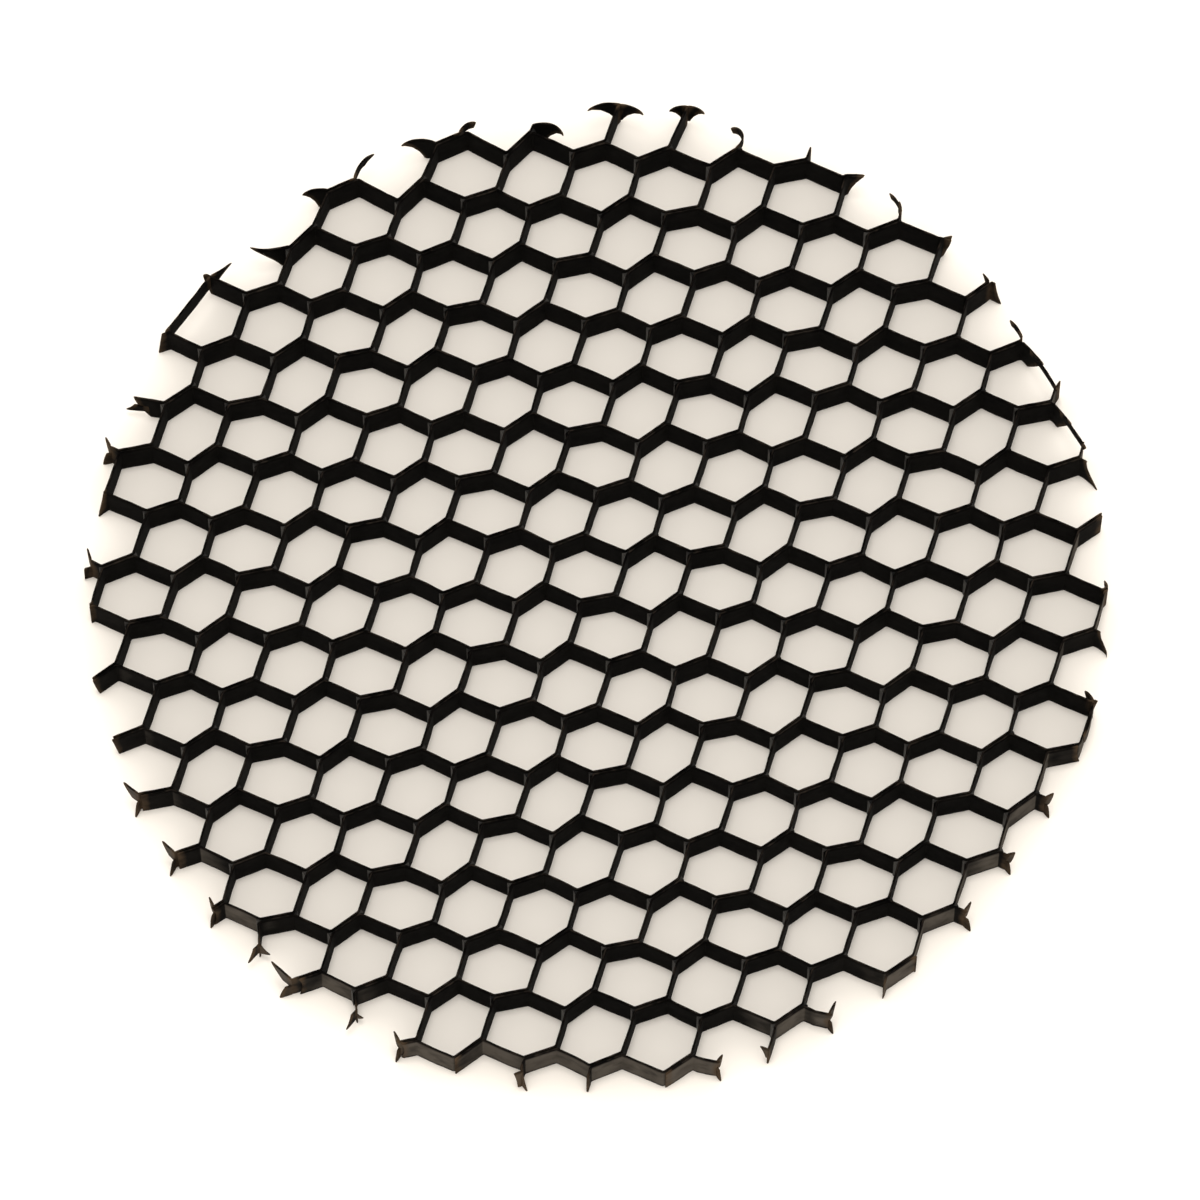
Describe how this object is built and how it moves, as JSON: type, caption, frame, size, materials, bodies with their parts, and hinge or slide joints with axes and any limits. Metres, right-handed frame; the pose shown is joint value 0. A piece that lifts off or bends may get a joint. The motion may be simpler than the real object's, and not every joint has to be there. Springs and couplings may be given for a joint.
{
  "type": "honeycomb grid",
  "caption": "Round lamp-size light grid: glued zigzag foil ribbons cut to a flat bare-edged disc of hexagonal cells, matt black, to narrow a beam and cut glare.",
  "frame": {"origin": "centre of the disc's underside, on the plane that its foil edges rest on", "axes": "+Z along the cells, out of the front face; +X to the right and +Y away from the viewer in the usual view; the foil ribbons run 24.8 degrees anticlockwise of +X"},
  "size_m": [0.0494, 0.0494, 0.0025],
  "materials": {
    "black_foil": "thin matt black coating over aluminium foil, worn to a dull grey along the cut edges",
    "node_adhesive": "cured structural adhesive film under the same black coating"
  },
  "bodies": {
    "root": {"foil_ribbon_01": "black_foil", "foil_ribbon_02": "black_foil", "foil_ribbon_03": "black_foil", "foil_ribbon_04": "black_foil", "foil_ribbon_05": "black_foil", "foil_ribbon_06": "black_foil", "foil_ribbon_07": "black_foil", "foil_ribbon_08": "black_foil", "foil_ribbon_09": "black_foil", "foil_ribbon_10": "black_foil", "foil_ribbon_11": "black_foil", "foil_ribbon_12": "black_foil", "foil_ribbon_13": "black_foil", "foil_ribbon_14": "black_foil", "foil_ribbon_15": "black_foil", "foil_ribbon_16": "black_foil", "foil_ribbon_17": "black_foil", "foil_ribbon_18": "black_foil", "foil_ribbon_19": "black_foil", "foil_ribbon_20": "black_foil", "foil_ribbon_21": "black_foil", "foil_ribbon_22": "black_foil", "foil_ribbon_23": "black_foil", "foil_ribbon_24": "black_foil", "foil_ribbon_25": "black_foil", "foil_ribbon_26": "black_foil", "foil_ribbon_27": "black_foil", "foil_ribbon_28": "black_foil", "foil_ribbon_29": "black_foil", "foil_ribbon_30": "black_foil", "foil_ribbon_31": "black_foil", "glue_seam_01": "node_adhesive", "glue_seam_02": "node_adhesive", "glue_seam_03": "node_adhesive", "glue_seam_04": "node_adhesive", "glue_seam_05": "node_adhesive", "glue_seam_06": "node_adhesive", "glue_seam_07": "node_adhesive", "glue_seam_08": "node_adhesive", "glue_seam_09": "node_adhesive", "glue_seam_10": "node_adhesive", "glue_seam_11": "node_adhesive", "glue_seam_12": "node_adhesive", "glue_seam_13": "node_adhesive", "glue_seam_14": "node_adhesive", "glue_seam_15": "node_adhesive", "glue_seam_16": "node_adhesive", "glue_seam_17": "node_adhesive", "glue_seam_18": "node_adhesive", "glue_seam_19": "node_adhesive", "glue_seam_20": "node_adhesive", "glue_seam_21": "node_adhesive", "glue_seam_22": "node_adhesive", "glue_seam_23": "node_adhesive", "glue_seam_24": "node_adhesive", "glue_seam_25": "node_adhesive", "glue_seam_26": "node_adhesive", "glue_seam_27": "node_adhesive", "glue_seam_28": "node_adhesive", "glue_seam_29": "node_adhesive"}
  },
  "joints": []
}
